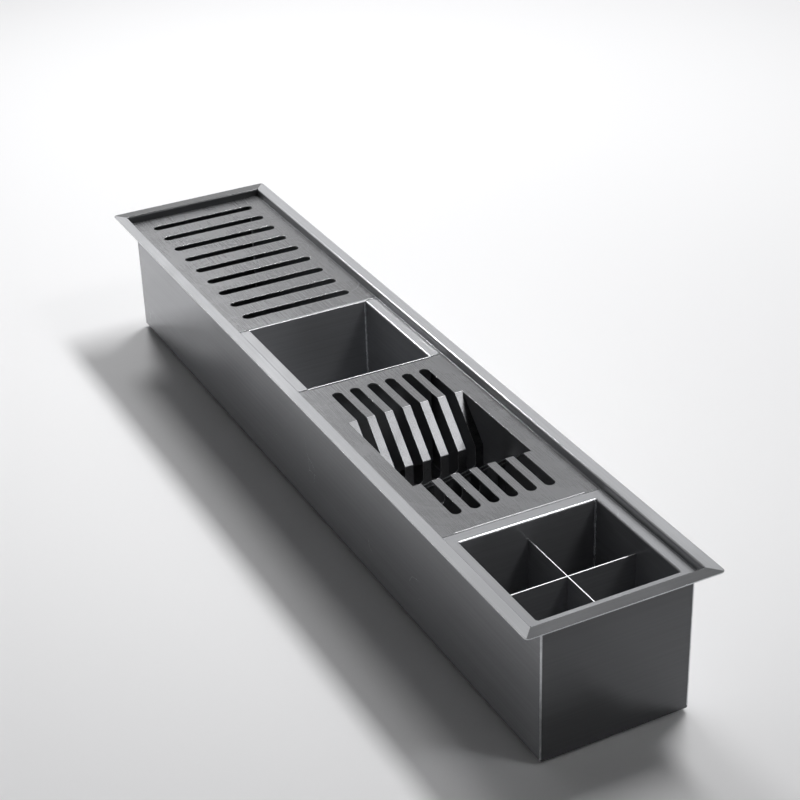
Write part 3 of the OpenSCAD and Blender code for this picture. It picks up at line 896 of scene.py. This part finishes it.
class TROUGHSINK_OT_stage(Operator):
    """Set the pale floor, the studio light and the camera"""

    bl_idname = "troughsink.stage"
    bl_label = "Set Stage"

    def execute(self, context):
        studio = studio_settings()
        deselect()
        bpy.ops.mesh.primitive_plane_add(size=studio.floor_size, location=(0, 0, 0))
        floor = context.active_object
        floor.name = floor.data.name = "studio_floor"
        material, tree, shader, place = new_material(
            "Studio floor", "stage", tuple(studio.floor_colour))
        cloud = add(tree, "ShaderNodeTexNoise", links=[
            ("Vector", place), ("Scale", 1.5), ("Detail", 3.0)])
        shade = add(tree, "ShaderNodeMapRange", links=[
            ("Value", cloud.outputs["Fac"]), ("To Min", 0.6), ("To Max", 0.7)])
        tree.links.new(shade.outputs[0], shader.inputs["Roughness"])
        shader.inputs["Base Color"].default_value = (*studio.floor_colour, 1)
        shader.inputs["Specular IOR Level"].default_value = 0.2
        floor.data.materials.append(material)
        self.room(context)
        self.light("Key light", KEY_PLACE, KEY_AIM, studio.key_power,
                   studio.key_length, studio.key_width, KEY_GRID)
        self.light("Rear light", REAR_PLACE, REAR_AIM, studio.rear_power,
                   REAR_SIZE, REAR_SIZE, REAR_GRID)
        self.light("Fill light", FILL_PLACE, FILL_AIM, studio.fill_power,
                   FILL_SIZE, FILL_SIZE, FILL_GRID)
        self.camera(context, studio)
        return {"FINISHED"}

    def room(self, context):
        """A dim room with a pale horizon, and soft glows past both ends and at the near rear."""
        studio = studio_settings()
        world = bpy.data.worlds.new("Studio room")
        context.scene.world = world
        world.use_nodes = True
        tree = world.node_tree
        tree.nodes.clear()
        place = tree.nodes.new("ShaderNodeTexCoord").outputs["Generated"]
        split = add(tree, "ShaderNodeSeparateXYZ", links=[(0, place)])
        ramp = tree.nodes.new("ShaderNodeValToRGB")
        ramp.color_ramp.interpolation = "EASE"
        stops = ramp.color_ramp.elements
        ends = {0.0: 0, 1.0: -1}
        for height, shade in ROOM_SHADES:
            stop = stops[ends[height]] if height in ends else stops.new(height)
            stop.color = (shade, shade, shade, 1)
        tree.links.new(split.outputs["Z"], ramp.inputs["Fac"])
        far_side = add(tree, "ShaderNodeMapRange", interpolation_type="SMOOTHSTEP", links=[
            ("Value", split.outputs["Y"]), ("From Min", -0.5), ("From Max", 0.4),
            ("To Min", 0.2), ("To Max", 1.0)])
        total = add(tree, "ShaderNodeVectorMath", operation="SCALE", links=[
            (0, ramp.outputs["Color"]), ("Scale", far_side.outputs[0])]).outputs[0]
        for centre, edge, full, heights, brightness in GLOWS:
            near = add(tree, "ShaderNodeVectorMath", operation="DOT_PRODUCT", links=[
                (0, place), (1, centre)])
            side = add(tree, "ShaderNodeMapRange", interpolation_type="SMOOTHSTEP", links=[
                ("Value", near.outputs["Value"]), ("From Min", edge), ("From Max", full),
                ("To Max", getattr(studio, brightness))])
            rising = add(tree, "ShaderNodeMapRange", interpolation_type="SMOOTHSTEP", links=[
                ("Value", split.outputs["Z"]), ("From Min", heights[0]), ("From Max", heights[1])])
            falling = add(tree, "ShaderNodeMapRange", interpolation_type="SMOOTHSTEP", links=[
                ("Value", split.outputs["Z"]), ("From Min", heights[3]), ("From Max", heights[2])])
            band = add(tree, "ShaderNodeMath", operation="MULTIPLY", links=[
                (0, rising.outputs[0]), (1, falling.outputs[0])])
            share = add(tree, "ShaderNodeMath", operation="MULTIPLY", links=[
                (0, band.outputs[0]), (1, side.outputs[0])])
            total = add(tree, "ShaderNodeVectorMath", operation="ADD", links=[
                (0, total), (1, share.outputs[0])]).outputs[0]
        background = add(tree, "ShaderNodeBackground", links=[
            ("Color", total), ("Strength", studio.sky_strength)])
        output = tree.nodes.new("ShaderNodeOutputWorld")
        tree.links.new(background.outputs[0], output.inputs["Surface"])

    def light(self, name, place, aim, power, size_x, size_y, grid):
        """A soft light behind a grid that lets it fan out by some degrees."""
        bpy.ops.object.light_add(type="AREA", location=place)
        lamp = bpy.context.active_object
        lamp.name = lamp.data.name = name
        lamp.data.shape = "RECTANGLE"
        lamp.data.size = size_x
        lamp.data.size_y = size_y
        lamp.data.energy = power
        lamp.data.spread = math.radians(grid)
        lamp.rotation_euler = (Vector(aim) - Vector(place)).to_track_quat("-Z", "Y").to_euler()

    def camera(self, context, studio):
        """The camera as fitted to the photograph: azimuth, elevation and a slight roll."""
        azimuth, elevation, roll = CAMERA_AZIMUTH, CAMERA_ELEVATION, CAMERA_ROLL
        bpy.ops.object.camera_add(location=CAMERA_PLACE)
        camera = context.active_object
        camera.name = camera.data.name = "photo_camera"
        back = Vector((math.sin(azimuth) * math.cos(elevation),
                       -math.cos(azimuth) * math.cos(elevation), math.sin(elevation)))
        right = (-back).cross(Vector((0, 0, 1))).normalized()
        up = right.cross(-back)
        turned_right = math.cos(roll) * right + math.sin(roll) * up
        turned_up = -math.sin(roll) * right + math.cos(roll) * up
        turn = Matrix((turned_right, turned_up, back)).transposed()
        camera.rotation_euler = turn.to_euler()
        camera.data.lens = studio.lens
        camera.data.sensor_width = SENSOR_WIDTH
        camera.data.clip_end = 200
        camera.data.dof.use_dof = False
        context.scene.camera = camera
        context.scene.view_settings.view_transform = "Standard"


STEPS = (
    TROUGHSINK_OT_trough,
    TROUGHSINK_OT_pads,
    TROUGHSINK_OT_board,
    TROUGHSINK_OT_box,
    TROUGHSINK_OT_rack,
    TROUGHSINK_OT_caddy,
    TROUGHSINK_OT_seams,
    TROUGHSINK_OT_stage,
)


class TROUGHSINK_PT_panel(Panel):
    """Settings and steps of the trough sink"""

    bl_idname = "TROUGHSINK_PT_panel"
    bl_label = "Integrated Trough Sink"
    bl_space_type = "VIEW_3D"
    bl_region_type = "UI"
    bl_category = "Trough Sink"

    def draw(self, context):
        layout = self.layout
        for group in (context.scene.trough_sink_steel, context.scene.trough_sink_weld,
                      context.scene.trough_sink_studio):
            column = layout.box().column(align=True)
            for name in group.__annotations__:
                column.prop(group, name)
        for step in STEPS:
            layout.operator(step.bl_idname)


CLASSES = (SteelSettings, WeldSettings, StudioSettings, *STEPS, TROUGHSINK_PT_panel)


def register():
    for item in CLASSES:
        bpy.utils.register_class(item)
    bpy.types.Scene.trough_sink_steel = PointerProperty(type=SteelSettings)
    bpy.types.Scene.trough_sink_weld = PointerProperty(type=WeldSettings)
    bpy.types.Scene.trough_sink_studio = PointerProperty(type=StudioSettings)


def unregister():
    del bpy.types.Scene.trough_sink_studio
    del bpy.types.Scene.trough_sink_weld
    del bpy.types.Scene.trough_sink_steel
    for item in reversed(CLASSES):
        bpy.utils.unregister_class(item)


def main():
    register()
    for step in STEPS:
        getattr(bpy.ops.troughsink, step.bl_idname.split(".")[1])()


if __name__ == "__main__":
    main()
